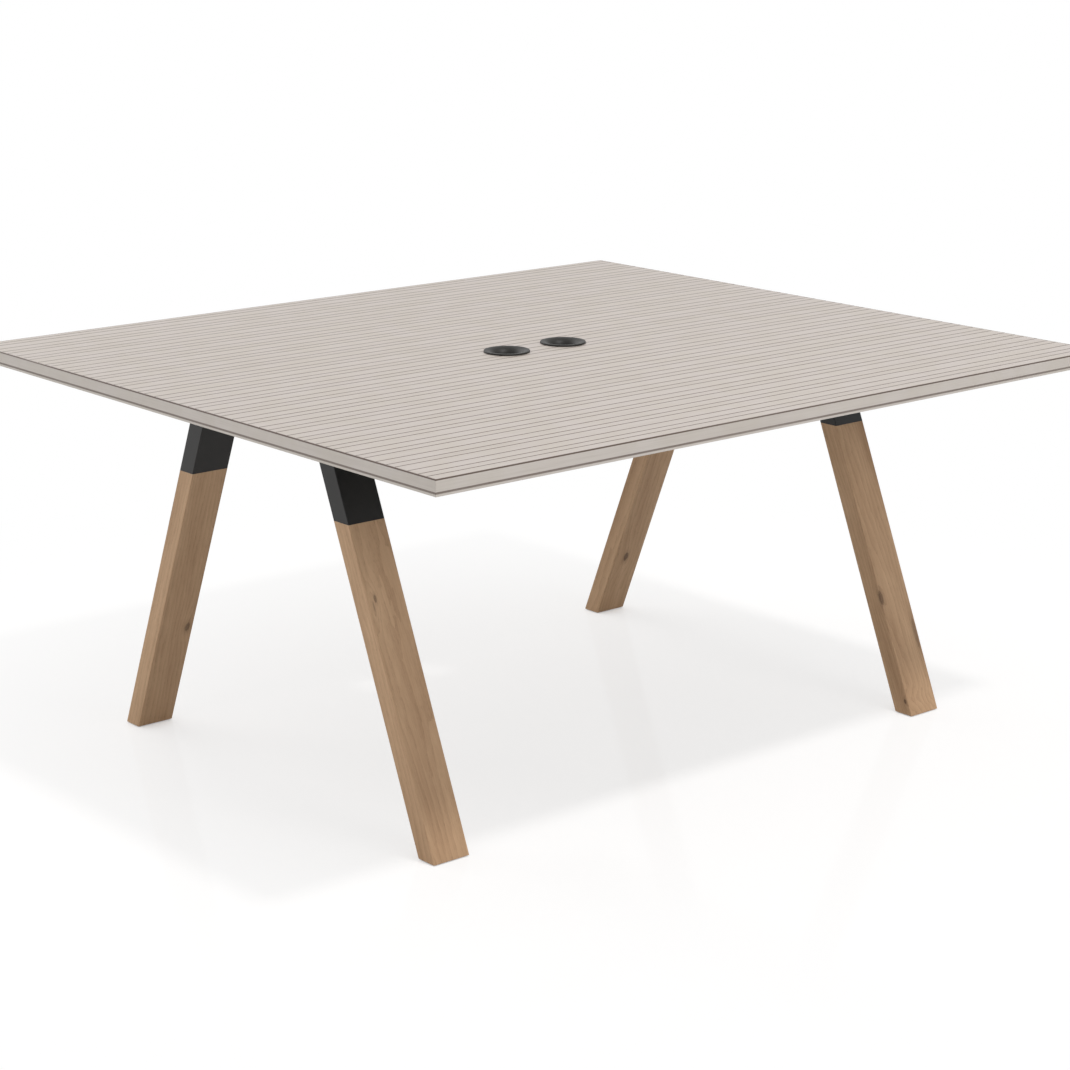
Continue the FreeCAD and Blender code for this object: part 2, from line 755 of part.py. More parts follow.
def make_sleeve(label, inner, outer, length):
    """A threaded sleeve standing on the origin: a rivet nut or an insert."""
    body = new_body(label)
    section = rectangle(f"{inner} / 2", f"{outer} / 2", "0", length)
    turned("Revolution", body, "Sleeve", outline(body, "Section", "XZ_Plane", section))
    return body


def make_draw_bolt(label, corner):
    """The bolt down a leg's middle line that draws the leg up to its shoe, its head on the spigot's end."""
    body = new_body(label)
    seat = "spigot_length - spigot_end"
    shank = "(frame_bolt / 2 - thread_clear)"
    head = "draw_head_dia / 2"
    top = f"{seat} - draw_head_height"
    end = f"{seat} + draw_bolt_length"
    steps = [
        leg_point(top, "0"),
        leg_point(top, head),
        leg_point(seat, head),
        leg_point(seat, shank),
        leg_point(end, shank),
        leg_point(end, "0"),
    ]
    blank = outline(body, "Section", "YZ_Plane", steps, axis=LEG_LINE)
    turned("Revolution", body, "Blank", blank, "Axis0")
    socket = hexagon(body, "KeyOutline", "draw_key", None)
    start = leg_point(top, "0")
    lean = FreeCAD.Rotation(FreeCAD.Vector(1, 0, 0), -number_of("leg_lean"))
    socket.AttachmentOffset = FreeCAD.Placement(FreeCAD.Vector(), lean)
    socket.setExpression("AttachmentOffset.Base.y", sized(start[0]))
    socket.setExpression("AttachmentOffset.Base.z", sized(start[1]))
    socket.setExpression("AttachmentOffset.Rotation.Angle", sized("-leg_lean"))
    pocket(body, "Key", socket, "draw_head_height / 2")
    place_at_corner(body, corner)
    return body


def make_draw_insert(label, corner):
    """The threaded insert at the bottom of a mortise that the draw bolt holds in."""
    body = new_body(label)
    start = "spigot_length + mortise_clear"
    end = f"{start} + draw_insert_length"
    steps = [
        leg_point(start, "frame_bolt / 2"),
        leg_point(start, "draw_insert_dia / 2"),
        leg_point(end, "draw_insert_dia / 2"),
        leg_point(end, "frame_bolt / 2"),
    ]
    ring = outline(body, "Section", "YZ_Plane", steps, axis=LEG_LINE)
    turned("Revolution", body, "Sleeve", ring, "Axis0")
    place_at_corner(body, corner)
    return body


def copy_to(master, points, tilt=None):
    """Copies of a fastener, one at each point, turned to lie along the width if a tilt is given."""
    copies = []
    for x, y, z in points:
        copy = doc.addObject("App::Link", f"{master.Label}_copy")
        copy.LinkedObject = master
        place(copy, x, y, z)
        if tilt:
            copy.Placement.Rotation = FreeCAD.Rotation(FreeCAD.Vector(0, 1, 0), tilt)
        copies.append(copy)
    return copies


def group(label, items):
    """Like fasteners as separate solids of one sub-part."""
    together = doc.addObject("Part::Compound", label)
    together.Label = label
    together.Links = items
    return together


pieces = []

# The top.
pieces.append(make_core())
pieces.append(make_board("decor_sheet", "(desk_height - sheet_thick)", "sheet_thick"))
pieces.append(make_backing())
pieces.append(make_long_band("edge_band_front", 0))
pieces.append(make_long_band("edge_band_back", 180))
pieces.append(make_short_band("edge_band_left", 0))
pieces.append(make_short_band("edge_band_right", 180))

# The cable ports.
for name, sign in SIDES.items():
    pieces.append(make_port(f"cable_port_{name}", sign))
    pieces.append(make_ring(f"cable_port_ring_{name}", sign))

# The steel frame under the top.
for name, sign in SIDES.items():
    pieces.append(make_beam(f"crossbeam_{name}", sign))
pieces.append(make_rail("rail_front", RAIL_LINES[0]))
pieces.append(make_rail("rail_back", RAIL_LINES[1]))

# The four legs with all that is theirs alone.
draw_bolts = []
draw_inserts = []
for corner in CORNERS:
    pieces.append(make_beam_cap(f"beam_cap_{corner}", corner))
    pieces.append(make_shoe(f"leg_shoe_{corner}", corner))
    pieces.append(make_leg(f"leg_{corner}", corner))
    pieces.append(make_foot(f"leveller_foot_{corner}", corner))
    pieces.append(make_stud(f"leveller_stud_{corner}", corner))
    draw_bolts.append(make_draw_bolt(f"draw_bolt_{corner}", corner))
    draw_inserts.append(make_draw_insert(f"draw_insert_{corner}", corner))
pieces.append(group("draw_bolts", draw_bolts))
pieces.append(group("draw_inserts", draw_inserts))
foot_insert = make_sleeve("foot_insert", "frame_bolt", "foot_insert_dia", "foot_insert_length")
feet = []
for side, turn in CORNERS.values():
    feet.append((signed(side, LEG_X), signed(-1 if turn else 1, FOOT_Y), FOOT_ROOF))
pieces.append(group("leveller_inserts", copy_to(foot_insert, feet)))

# The bolts from the shoes into the beams.
frame_bolt = make_bolt(
    "frame_bolt", "frame_bolt", "frame_bolt_length", "frame_head_dia", "frame_head_height", "frame_key"
)
rivet_nut = make_sleeve("rivet_nut", "frame_bolt", "rivet_dia", "rivet_length")
spots = []
for side in (-1, 1):
    for x, y in SHOE_BOLTS:
        for end in (-1, 1):
            spots.append((f"{signed(side, LEG_X)} + {x}", signed(end, y)))
pieces.append(group("shoe_bolts", copy_to(frame_bolt, [(x, y, PLATE_BOTTOM) for x, y in spots])))
pieces.append(group("shoe_rivet_nuts", copy_to(rivet_nut, [(x, y, BEAM_BOTTOM) for x, y in spots])))

# The bolts from the rails into the beams.
rail_bolts = []
rail_nuts = []
middle = f"{UNDERSIDE} - beam_height / 2"
for side in (-1, 1):
    seat = signed(side, f"{BEAM_INNER} - end_thick")
    wall = signed(side, BEAM_INNER)
    rail_bolts += copy_to(frame_bolt, [(seat, along, middle) for along in RAIL_BOLTS], 90 * side)
    rail_nuts += copy_to(rivet_nut, [(wall, along, middle) for along in RAIL_BOLTS], 90 * side)
pieces.append(group("rail_bolts", rail_bolts))
pieces.append(group("rail_rivet_nuts", rail_nuts))

# The bolts from the beams and rails into the top.
top_bolt = make_bolt("top_bolt", "top_bolt", "top_bolt_length", "top_head_dia", "top_head_height", "top_key")
core_insert = make_sleeve("core_insert", "top_bolt", "core_insert_dia", "core_insert_length")
heads = [(x, y, f"{UNDERSIDE} - {wall}") for x, y, wall in TOP_FIXES]
inserts = [(x, y, f"{UNDERSIDE} + sheet_thick") for x, y in TOP_HOLES]
pieces.append(group("top_bolts", copy_to(top_bolt, heads)))
pieces.append(group("core_inserts", copy_to(core_insert, inserts)))

doc.recompute()
for item in doc.Objects:
    if "Invalid" in item.State or "Error" in item.State:
        raise RuntimeError(f"{item.Label} is {item.State}")
for piece in pieces:
    if piece.Shape.isNull() or not piece.Shape.isValid():
        raise RuntimeError(f"{piece.Label} has no valid shape")

os.makedirs("parts", exist_ok=True)
for piece in pieces:
    piece.Shape.exportStep(f"parts/{piece.Label}.step")
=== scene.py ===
import math
from functools import reduce

import bmesh
import bpy
from mathutils import Matrix, Vector


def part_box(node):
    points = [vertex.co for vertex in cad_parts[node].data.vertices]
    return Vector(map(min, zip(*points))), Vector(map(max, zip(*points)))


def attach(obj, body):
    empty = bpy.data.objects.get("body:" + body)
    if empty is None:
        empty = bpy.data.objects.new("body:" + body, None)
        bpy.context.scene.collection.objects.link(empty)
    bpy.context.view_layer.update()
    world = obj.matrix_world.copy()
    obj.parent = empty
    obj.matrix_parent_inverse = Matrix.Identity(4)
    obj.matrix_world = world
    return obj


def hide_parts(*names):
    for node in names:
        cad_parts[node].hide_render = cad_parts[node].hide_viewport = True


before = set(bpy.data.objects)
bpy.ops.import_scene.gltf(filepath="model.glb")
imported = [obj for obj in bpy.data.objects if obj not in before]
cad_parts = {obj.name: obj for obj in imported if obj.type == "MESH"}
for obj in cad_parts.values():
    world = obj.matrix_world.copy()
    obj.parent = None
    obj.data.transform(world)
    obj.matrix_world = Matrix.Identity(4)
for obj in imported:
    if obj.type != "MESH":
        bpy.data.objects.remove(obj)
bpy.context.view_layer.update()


# Legs: four lengths of solid oak, planed square, oiled and left matt, with their arrises eased.
# Each is cut level at the floor and at the shoe and leans out by one angle. The grain runs along
# it, and every leg has its own streaks and knots.
class Wire:
    """One output of a node tree. Arithmetic on wires adds Math nodes, and node() adds any other kind."""

    def __init__(self, socket):
        self.socket = socket

    def __getitem__(self, output):
        return Wire(self.socket.node.outputs[output])

    def node(self, kind, settings=None, inputs=None):
        """A new node in the same tree: its settings come first, then its sockets' values or links."""
        tree = self.socket.id_data
        made = tree.nodes.new(kind)
        for name, value in (settings or {}).items():
            setattr(made, name, value)
        for name, value in (inputs or {}).items():
            socket = next(s for s in made.inputs if s.enabled and name in (s.identifier, s.name))
            for given in value if isinstance(value, list) else [value]:
                if isinstance(given, Wire):
                    tree.links.new(given.socket, socket)
                else:
                    socket.default_value = given
        return Wire(next(s for s in made.outputs if s.enabled))

    def maths(self, operation, *others):
        """A Math node on this value and the others."""
        inputs = dict(zip(("Value", "Value_001", "Value_002"), (self, *others)))
        return self.node("ShaderNodeMath", {"operation": operation}, inputs)

    def __add__(self, other):
        return self.maths("ADD", other)

    def __sub__(self, other):
        return self.maths("SUBTRACT", other)

    def __rsub__(self, other):
        inputs = {"Value": other, "Value_001": self}
        return self.node("ShaderNodeMath", {"operation": "SUBTRACT"}, inputs)

    def __mul__(self, other):
        return self.maths("MULTIPLY", other)

    def __truediv__(self, other):
        return self.maths("DIVIDE", other)

    def __pow__(self, other):
        return self.maths("POWER", other)

    __radd__ = __add__
    __rmul__ = __mul__

    def vector(self, operation, other):
        inputs = {"Vector": self, "Vector_001": other}
        return self.node("ShaderNodeVectorMath", {"operation": operation}, inputs)

    def length(self):
        return self.node("ShaderNodeVectorMath", {"operation": "LENGTH"}, {"Vector": self})["Value"]

    def axis(self, name):
        return self.node("ShaderNodeSeparateXYZ", None, {"Vector": self})[name]

    def turned(self, location, rotation):
        inputs = {"Vector": self, "Location": location, "Rotation": rotation}
        return self.node("ShaderNodeMapping", {"vector_type": "POINT"}, inputs)

    def noise(self, per_metre, detail=3.0, roughness=0.55):
        """Cloudy values about a half, with so many clouds per metre along each axis."""
        inputs = {
            "Vector": self.vector("MULTIPLY", per_metre),
            "Scale": 1.0,
            "Detail": detail,
            "Roughness": roughness,
        }
        return self.node("ShaderNodeTexNoise", None, inputs)

    def step(self, low, high):
        """Rises smoothly from 0 at low to 1 at high."""
        inputs = {"Value": self, "From Min": low, "From Max": high}
        return self.node("ShaderNodeMapRange", {"interpolation_type": "SMOOTHSTEP"}, inputs)

    def mix(self, none, full):
        """The colour none where this is 0 and full where it is 1."""
        inputs = {"Factor": self, "A": none, "B": full}
        return self.node("ShaderNodeMix", {"data_type": "RGBA"}, inputs)

    def relief(self, strength, distance):
        """A surface that stands proud where this is high, by up to the distance."""
        inputs = {"Height": self, "Strength": strength, "Distance": distance}
        return self.node("ShaderNodeBump", None, inputs)


def screen(red, green, blue):
    """The shader's colour for a screen colour from 0 to 255."""
    linear = [((c / 255 + 0.055) / 1.055) ** 2.4 for c in (red, green, blue)]
    return (*linear, 1.0)


def new_finish(name, constants):
    """A material with its shader's even values set, and the piece's own coordinates to work from."""
    material = bpy.data.materials.new(name)
    material.use_nodes = True
    tree = material.node_tree
    for socket, value in constants.items():
        tree.nodes["Principled BSDF"].inputs[socket].default_value = value
    return material, Wire(tree.nodes.new("ShaderNodeTexCoord").outputs["Object"])


def feed(material, sockets):
    """Links what varies over the surface to the shader."""
    tree = material.node_tree
    for name, wire in sockets.items():
        tree.links.new(wire.socket, tree.nodes["Principled BSDF"].inputs[name])
    return material


def dress(node, material):
    """Gives a piece of the frame its finish."""
    for material_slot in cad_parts[node].material_slots:
        material_slot.material = material


def middle(node):
    low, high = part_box(node)
    return (low + high) / 2


def highest(wires):
    """The highest of several values at each point."""
    return reduce(lambda one, other: one.maths("MAXIMUM", other), wires)


LEG_LEAN = math.radians(22.4)
RING_WIDTH = 0.0075
LOG_TILT = (0.035, 0.05, 0.0)
# How often each kind of figure comes per metre, across the grain both ways and along it.
CLOUDS_PER_METRE = (10, 10, 1.8)
BANDS_PER_METRE = (34, 34, 3.2)
RIPPLES_PER_METRE = (120, 120, 34)
FIBRES_PER_METRE = (330, 330, 22)
PORES_PER_METRE = (1400, 1400, 90)
KNOT_RAGS_PER_METRE = (260, 260, 80)
# How far clouds, bands, ripples and knots push the rings out of true, in metres.
CLOUD_SWELL = 0.03
BAND_SWELL = 0.02
RIPPLE_SWELL = 0.003
KNOT_SWELL = 0.012
OAK_PALE = screen(207, 172, 137)
OAK_DEEP = screen(160, 125, 93)
OAK_PORE = screen(110, 83, 61)
OAK_KNOT = screen(78, 56, 40)
# How much each axis counts in the distance from a knot, which is drawn out where that is little.
THROUGH_FACE = (1.0, 0.12, 0.5)
THROUGH_SIDE = (0.04, 1.0, 0.6)
ON_ARRIS = (1.0, 1.0, 0.32)
ALONG_GRAIN = (1.0, 0.05, 0.16)
PIN_KNOT = (1.0, 0.05, 0.36)


def oak(name, foot, lean, heart, knots):
    """Oak for one leg: heart is where the log's middle lay from the leg's foot, and a knot is its place in
    the leg, from the foot up, the way that it is drawn out, its radius and how dark it is."""
    material, place = new_finish(name, {"Specular IOR Level": 0.3})
    leg = place.turned(-(Matrix.Rotation(lean, 3, "X") @ foot), (lean, 0, 0))
    log = leg.turned(-heart, LOG_TILT)
    cloud = log.noise(CLOUDS_PER_METRE, detail=2.0)
    band = log.noise(BANDS_PER_METRE, detail=3.0)
    ripple = log.noise(RIPPLES_PER_METRE, detail=3.0)
    swell = CLOUD_SWELL * cloud + BAND_SWELL * band + RIPPLE_SWELL * ripple
    stains = []
    for centre, branch, radius, depth in knots:
        reach = leg.vector("SUBTRACT", centre).vector("MULTIPLY", branch).length() / radius
        swell = swell + KNOT_SWELL * (reach * reach * -0.12).maths("EXPONENT")
        ragged = reach + 0.6 * (leg.noise(KNOT_RAGS_PER_METRE) - 0.5)
        core = (1 - ragged.step(0.68, 1.0)) * (0.72 + 0.28 * (3.5 * ragged).maths("FRACT"))
        halo = 0.3 * (1 - ragged.step(0.5, 2.0))
        stains.append(depth * highest((core, halo)))
    rings = (log.vector("MULTIPLY", (1, 1, 0)).length() + swell) / RING_WIDTH
    early = (1 - rings.maths("FRACT")) ** 2.0
    fibre = log.noise(FIBRES_PER_METRE, detail=3.0)
    pores = log.noise(PORES_PER_METRE, detail=1.0).step(0.56, 0.72) * (0.2 + 0.8 * early)
    tone = 0.22 * early + 0.9 * (band - 0.5) + 0.5 * (fibre - 0.5) + 1.2 * (cloud - 0.5) + 0.34
    wood = (0.38 * pores).mix(tone.mix(OAK_PALE, OAK_DEEP), OAK_PORE)
    return feed(
        material,
        {
            "Base Color": highest(stains).mix(wood, OAK_KNOT),
            "Roughness": 0.5 + 0.14 * fibre + 0.12 * pores,
            "Normal": (0.6 * fibre + 0.25 * early - pores).relief(0.35, 0.0003),
        },
    )


# For each leg, where the log's heart lay from its foot, with its own stretch of the log, and its knots.
LEGS = {
    "front_left": (
        Vector((0.052, 0.064, 11.12)),
        [((-0.022, 0, 0.452), PIN_KNOT, 0.0034, 0.7), ((-0.028, 0, 0.44), ALONG_GRAIN, 0.0022, 0.45)],
    ),
    "front_right": (
        Vector((-0.066, 0.058, 3.36)),
        [
            ((-0.037, -0.019, 0.232), ON_ARRIS, 0.0055, 0.75),
            ((0.032, 0, 0.148), ALONG_GRAIN, 0.006, 0.5),
            ((0, -0.013, 0.022), THROUGH_SIDE, 0.004, 0.85),
        ],
    ),
    "back_left": (Vector((-0.058, -0.07, 5.59)), [((0.026, 0, 0.235), THROUGH_FACE, 0.007, 0.75)]),
    "back_right": (Vector((0.07, 0.05, 5.43)), [((-0.006, 0, 0.154), THROUGH_FACE, 0.0078, 0.9)]),
}
for corner, (heart, knots) in LEGS.items():
    lean = LEG_LEAN if corner.startswith("front") else -LEG_LEAN
    foot_point = middle(f"leveller_foot_{corner}")
    dress(f"leg_{corner}", oak(f"oak_{corner}", foot_point, lean, heart, knots))


# Threaded inserts in the legs: turned brass bushes with a coarse outer thread, driven into the oak.
# One in the end of each leg takes the levelling stud, and one in its mortise the draw bolt.
def turned_metal(name, pale, deep, roughness):
    """Bright metal straight from the lathe or the plating drum, with fine tool marks and a patchy sheen."""
    material, place = new_finish(name, {"Metallic": 1.0})
    cloud = place.noise((160, 160, 160))
    marks = place.noise((400, 400, 3200), detail=2.0)
    return feed(
        material,
        {
            "Base Color": cloud.mix(pale, deep),
            "Roughness": roughness + 0.16 * cloud + 0.1 * marks,
            "Normal": marks.relief(0.25, 0.0001),
        },
    )


brass = turned_metal("turned_brass", screen(214, 178, 104), screen(178, 138, 70), 0.24)
for node in ("leveller_inserts", "draw_inserts"):
    dress(node, brass)


# Levelling feet: moulded grey nylon discs, each on a zinc-plated threaded stud that screws up into
# its leg. They are wound all the way in, so that only the thin rim of a disc shows under the oak.
def moulded(name, pale, deep, roughness, grain):
    """Moulded plastic with a fine spark-eroded grain and slight flow marks."""
    material, place = new_finish(name, {"Specular IOR Level": 0.32})
    grit = place.noise((grain, grain, grain), detail=2.0)
    flow = place.noise((30, 30, 30), detail=2.0)
    return feed(
        material,
        {
            "Base Color": flow.mix(pale, deep),
            "Roughness": roughness + 0.14 * grit + 0.1 * (flow - 0.5),
            "Normal": grit.relief(0.3, 0.0001),
        },
    )


def shape_tree(name, inputs):
    """A new shape tree with its named inputs, and a wire from each."""
    tree = bpy.data.node_groups.new(name, "GeometryNodeTree")
    for label, kind in inputs.items():
        tree.interface.new_socket(label, in_out="INPUT", socket_type=kind)
    tree.interface.new_socket("Shape", in_out="OUTPUT", socket_type="NodeSocketGeometry")
    entry = tree.nodes.new("NodeGroupInput")
    return tree, {label: Wire(entry.outputs[label]) for label in inputs}


def close_tree(tree, shape, finish):
    """Ends a tree: its instances become real, take their finish and leave as the shape."""
    real = shape.node("GeometryNodeRealizeInstances", None, {"Geometry": shape})
    painted = real.node("GeometryNodeSetMaterial", None, {"Geometry": real, "Material": finish})
    tree.links.new(painted.socket, tree.nodes.new("NodeGroupOutput").inputs["Shape"])
    return tree


def grown(name, tree, values, lines=()):
    """A piece whose plain mesh a tree makes from the values of its named inputs, and from any lines that
    are drawn for it, each from a start to an end."""
    drawing = bpy.data.meshes.new(name)
    points = [point for line in lines for point in line]
    drawing.from_pydata(points, [(start, start + 1) for start in range(0, len(points), 2)], [])
    piece = bpy.data.objects.new(name, drawing)
    bpy.context.scene.collection.objects.link(piece)
    modifier = piece.modifiers.new(name, "NODES")
    modifier.node_group = tree
    for item in tree.interface.items_tree:
        if item.in_out == "INPUT" and item.name in values:
            modifier[item.identifier] = values[item.name]
    depsgraph = bpy.context.evaluated_depsgraph_get()
    mesh = bpy.data.meshes.new_from_object(piece.evaluated_get(depsgraph), depsgraph=depsgraph)
    piece.modifiers.remove(modifier)
    piece.data = mesh
    return piece


THREAD_PITCH = 0.00125
THREAD_DEPTH = 0.0007
# How far from the middle of the groove its flank begins and ends, in turns.
THREAD_FLANK = (0.04, 0.44)
STUD_SIDES = 32
ROWS_PER_TURN = 8


def threaded_stud_tree():
    """A bar whose side winds in and out along a right-hand thread, with both ends run out."""
    tree, size = shape_tree(
        "threaded_stud",
        {
            "Middle": "NodeSocketVector",
            "Length": "NodeSocketFloat",
            "Crest Radius": "NodeSocketFloat",
            "Thread Depth": "NodeSocketFloat",
            "Pitch": "NodeSocketFloat",
            "Finish": "NodeSocketMaterial",
        },
    )
    bar = size["Length"].node(
        "GeometryNodeMeshCylinder",
        {"fill_type": "NGON"},
        {
            "Vertices": STUD_SIDES,
            "Side Segments": size["Length"] / size["Pitch"] * ROWS_PER_TURN,
            "Radius": size["Crest Radius"],
            "Depth": size["Length"],
        },
    )
    at = bar.node("GeometryNodeInputPosition")
    x, y, z = (at.axis(name) for name in "XYZ")
    wound = z / size["Pitch"] - y.maths("ARCTAN2", x) / (2 * math.pi)
    slope = (wound.maths("FRACT") - 0.5).maths("ABSOLUTE")
    cut = (1 - slope.step(*THREAD_FLANK)) * size["Thread Depth"]
    near_end = size["Length"] / 2 - z.maths("ABSOLUTE")
    run_out = (1 - near_end.step(0.0, size["Pitch"])) * size["Thread Depth"]
    share = 1 - highest((cut, run_out)) / size["Crest Radius"]
    inputs = {"X": x * share, "Y": y * share, "Z": z}
    wound_in = at.node("ShaderNodeCombineXYZ", None, inputs).vector("ADD", size["Middle"])
    cut_bar = bar.node("GeometryNodeSetPosition", None, {"Geometry": bar, "Position": wound_in})
    return close_tree(tree, cut_bar, size["Finish"])


nylon = moulded("foot_nylon", screen(122, 122, 121), screen(106, 106, 105), 0.42, 1400)
zinc = turned_metal("zinc_plate", screen(206, 208, 208), screen(168, 171, 174), 0.22)
stud_tree = threaded_stud_tree()
for corner in LEGS:
    dress(f"leveller_foot_{corner}", nylon)
    low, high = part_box(f"leveller_stud_{corner}")
    stud = grown(
        f"threaded_stud_{corner}",
        stud_tree,
        {
            "Middle": (low + high) / 2,
            "Length": high.z - low.z,
            "Crest Radius": (high.x - low.x) / 2,
            "Thread Depth": THREAD_DEPTH,
            "Pitch": THREAD_PITCH,
            "Finish": zinc,
        },
    )
    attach(stud, f"foot_{corner}")
    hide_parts(f"leveller_stud_{corner}")


# Shoes: a bent and welded box of steel plate on each leg, with a spigot down into the oak and a
# flange up under the beam. Beads of weld join box and flange in front and behind, and the whole
# is powder-coated black with a fine matt texture.
def powder_coat(name, pale, deep):
    """Baked-on powder: even and nearly matt, with a tight orange peel and faint clouds of a darker tone."""
    material, place = new_finish(name, {"Specular IOR Level": 0.34})
    peel = place.noise((900, 900, 900), detail=2.0)
    cloud = place.noise((11, 11, 11), detail=3.0)
    return feed(
        material,
        {
            "Base Color": cloud.mix(pale, deep),
            "Roughness": 0.3 + 0.14 * peel + 0.08 * (cloud - 0.5),
            "Normal": peel.relief(0.3, 0.0002),
        },
    )


black_steel = powder_coat("black_powder_coat", screen(23, 22, 21), screen(15, 15, 14))

BEAD_RADIUS = 0.0032
BEAD_SIDES = 12
BEAD_STEP = 0.0005
BEAD_INSET = 0.003
# How thick a bead still is at its ends, as a share of its full thickness.
BEAD_END = 0.35
RIPPLE_PITCH = 0.0024
RIPPLE_DEPTH = 0.05
LEG_THICKNESS = 0.040
LEG_SLICE = LEG_THICKNESS / math.cos(LEG_LEAN)
PLATE_THICKNESS = 0.006
PLATE_EAR = 0.034


def weld_bead_tree():
    """A bead of weld along each drawn seam, rippled as the pool set and run out at both ends."""
    tree, size = shape_tree(
        "weld_bead",
        {
            "Seams": "NodeSocketGeometry",
            "Bead Radius": "NodeSocketFloat",
            "Ripple Pitch": "NodeSocketFloat",
            "Ripple Depth": "NodeSocketFloat",
            "Step": "NodeSocketFloat",
            "Finish": "NodeSocketMaterial",
        },
    )
    seams = size["Seams"].node("GeometryNodeMeshToCurve", None, {"Mesh": size["Seams"]})
    steps = {"Curve": seams, "Length": size["Step"]}
    stepped = seams.node("GeometryNodeResampleCurve", {"mode": "LENGTH"}, steps)
    run = seams.node("GeometryNodeSplineParameter")["Length"]
    half = seams.node("GeometryNodeSplineLength")["Length"] / 2
    from_end = half - (run - half).maths("ABSOLUTE")
    ripple = (run / size["Ripple Pitch"] * 2 * math.pi).maths("SINE")
    unsteady = seams.node("GeometryNodeInputPosition").noise((150, 150, 150)) - 0.5
    run_out = BEAD_END + (1 - BEAD_END) * from_end.step(0.0, size["Bead Radius"])
    radius = size["Bead Radius"] * run_out * (1 + size["Ripple Depth"] * (ripple + 2 * unsteady))
    ring = seams.node("GeometryNodeCurvePrimitiveCircle", None, {"Resolution": BEAD_SIDES, "Radius": 1.0})
    skin = {"Curve": stepped, "Profile Curve": ring, "Scale": radius, "Fill Caps": True}
    laid = seams.node("GeometryNodeCurveToMesh", None, skin)
    smooth = {"Geometry": laid, "Shade Smooth": True}
    return close_tree(tree, seams.node("GeometryNodeSetShadeSmooth", None, smooth), size["Finish"])


bead_tree = weld_bead_tree()


def weld(name, seams):
    """Beads of weld along the seams, coated over with the steel that they join."""
    sizes = {
        "Bead Radius": BEAD_RADIUS,
        "Ripple Pitch": RIPPLE_PITCH,
        "Ripple Depth": RIPPLE_DEPTH,
        "Step": BEAD_STEP,
        "Finish": black_steel,
    }
    beads = grown(name, bead_tree, sizes, seams)
    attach(beads, "desk")


shoe_seams = []
for corner in LEGS:
    dress(f"leg_shoe_{corner}", black_steel)
    end, side = corner.split("_")
    low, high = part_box(f"leg_shoe_{corner}")
    inner = high.y - PLATE_EAR if end == "front" else low.y + PLATE_EAR
    outer = inner - LEG_SLICE if end == "front" else inner + LEG_SLICE
    seam_z = high.z - PLATE_THICKNESS
    beam_low, beam_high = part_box(f"crossbeam_{side}")
    for y in (inner, outer):
        start = (beam_low.x + BEAD_INSET, y, seam_z)
        shoe_seams.append((start, (beam_high.x - BEAD_INSET, y, seam_z)))
weld("shoe_welds", shoe_seams)
dress("draw_bolts", zinc)


# Underframe: two box-section beams from front to back and two rails between them, welded to their
# end plates and coated as the shoes are. Moulded caps plug the open ends of the beams.
RAIL_WIDTH = 0.030
END_PLATE = 0.005

for node in ("crossbeam_left", "crossbeam_right", "rail_front", "rail_back"):
    dress(node, black_steel)
rail_seams = []
for node in ("rail_front", "rail_back"):
    low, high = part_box(node)
    line = middle(node).y
    for x in (low.x + END_PLATE, high.x - END_PLATE):
        for y in (line - RAIL_WIDTH / 2, line + RAIL_WIDTH / 2):
            rail_seams.append(((x, y, low.z + BEAD_INSET), (x, y, high.z - BEAD_INSET)))
weld("rail_welds", rail_seams)
cap_plastic = moulded("cap_plastic", screen(42, 42, 43), screen(31, 31, 32), 0.45, 1100)
for corner in LEGS:
    dress(f"beam_cap_{corner}", cap_plastic)


# Frame fixings: button-head bolts and rivet nuts of plated steel that hold shoes and rails to the
# beams, and the bolts that go up through the frame into inserts in the top.
for node in ("shoe_bolts", "rail_bolts", "top_bolts", "shoe_rivet_nuts", "rail_rivet_nuts"):
    dress(node, zinc)
dress("core_inserts", brass)


# Core of the top: a board of flat wood chips in many tones, glued and pressed. It shows only inside
# the port holes, before the sleeves go in.
CHIP_PALE = screen(206, 176, 132)
CHIP_DEEP = screen(150, 116, 78)
CHIP_DUST = screen(112, 84, 56)
CHIPS_PER_METRE = (150, 260, 900)
CHIP_BEND = (0.01, 0.01, 0.004)


def chipboard(name):
    """Flat chips of many tones, lying every way in the plane of the board."""
    material, place = new_finish(name, {"Specular IOR Level": 0.2})
    bent = place.vector("ADD", place.noise((60, 60, 60))["Color"].vector("MULTIPLY", CHIP_BEND))
    cells = {"Vector": bent.vector("MULTIPLY", CHIPS_PER_METRE), "Scale": 1.0}
    chips = bent.node("ShaderNodeTexVoronoi", None, cells)
    tone = chips["Color"].axis("X")
    dust = place.noise((700, 700, 700))
    return feed(
        material,
        {
            "Base Color": (0.3 * dust).mix(tone.mix(CHIP_PALE, CHIP_DEEP), CHIP_DUST),
            "Roughness": 0.75 + 0.2 * dust,
            "Normal": (chips["Distance"] + dust).relief(0.5, 0.0005),
        },
    )


dress("desktop_core", chipboard("chipboard"))


# Backing sheet: plain pale laminate pressed on under the core against warping, with a light pearl
# texture from the press plate.
def backing_laminate(name):
    """Plain pale laminate, a little cloudy, with its pearl texture in gloss and relief."""
    material, place = new_finish(name, {"Specular IOR Level": 0.4})
    pearl = place.noise((650, 650, 650), detail=1.0)
    cloud = place.noise((7, 7, 7), detail=4.0)
    return feed(
        material,
        {
            "Base Color": cloud.mix(screen(206, 201, 195), screen(198, 192, 186)),
            "Roughness": 0.46 + 0.16 * pearl,
            "Normal": pearl.relief(0.25, 0.0001),
        },
    )


dress("backing_sheet", backing_laminate("backing_laminate"))


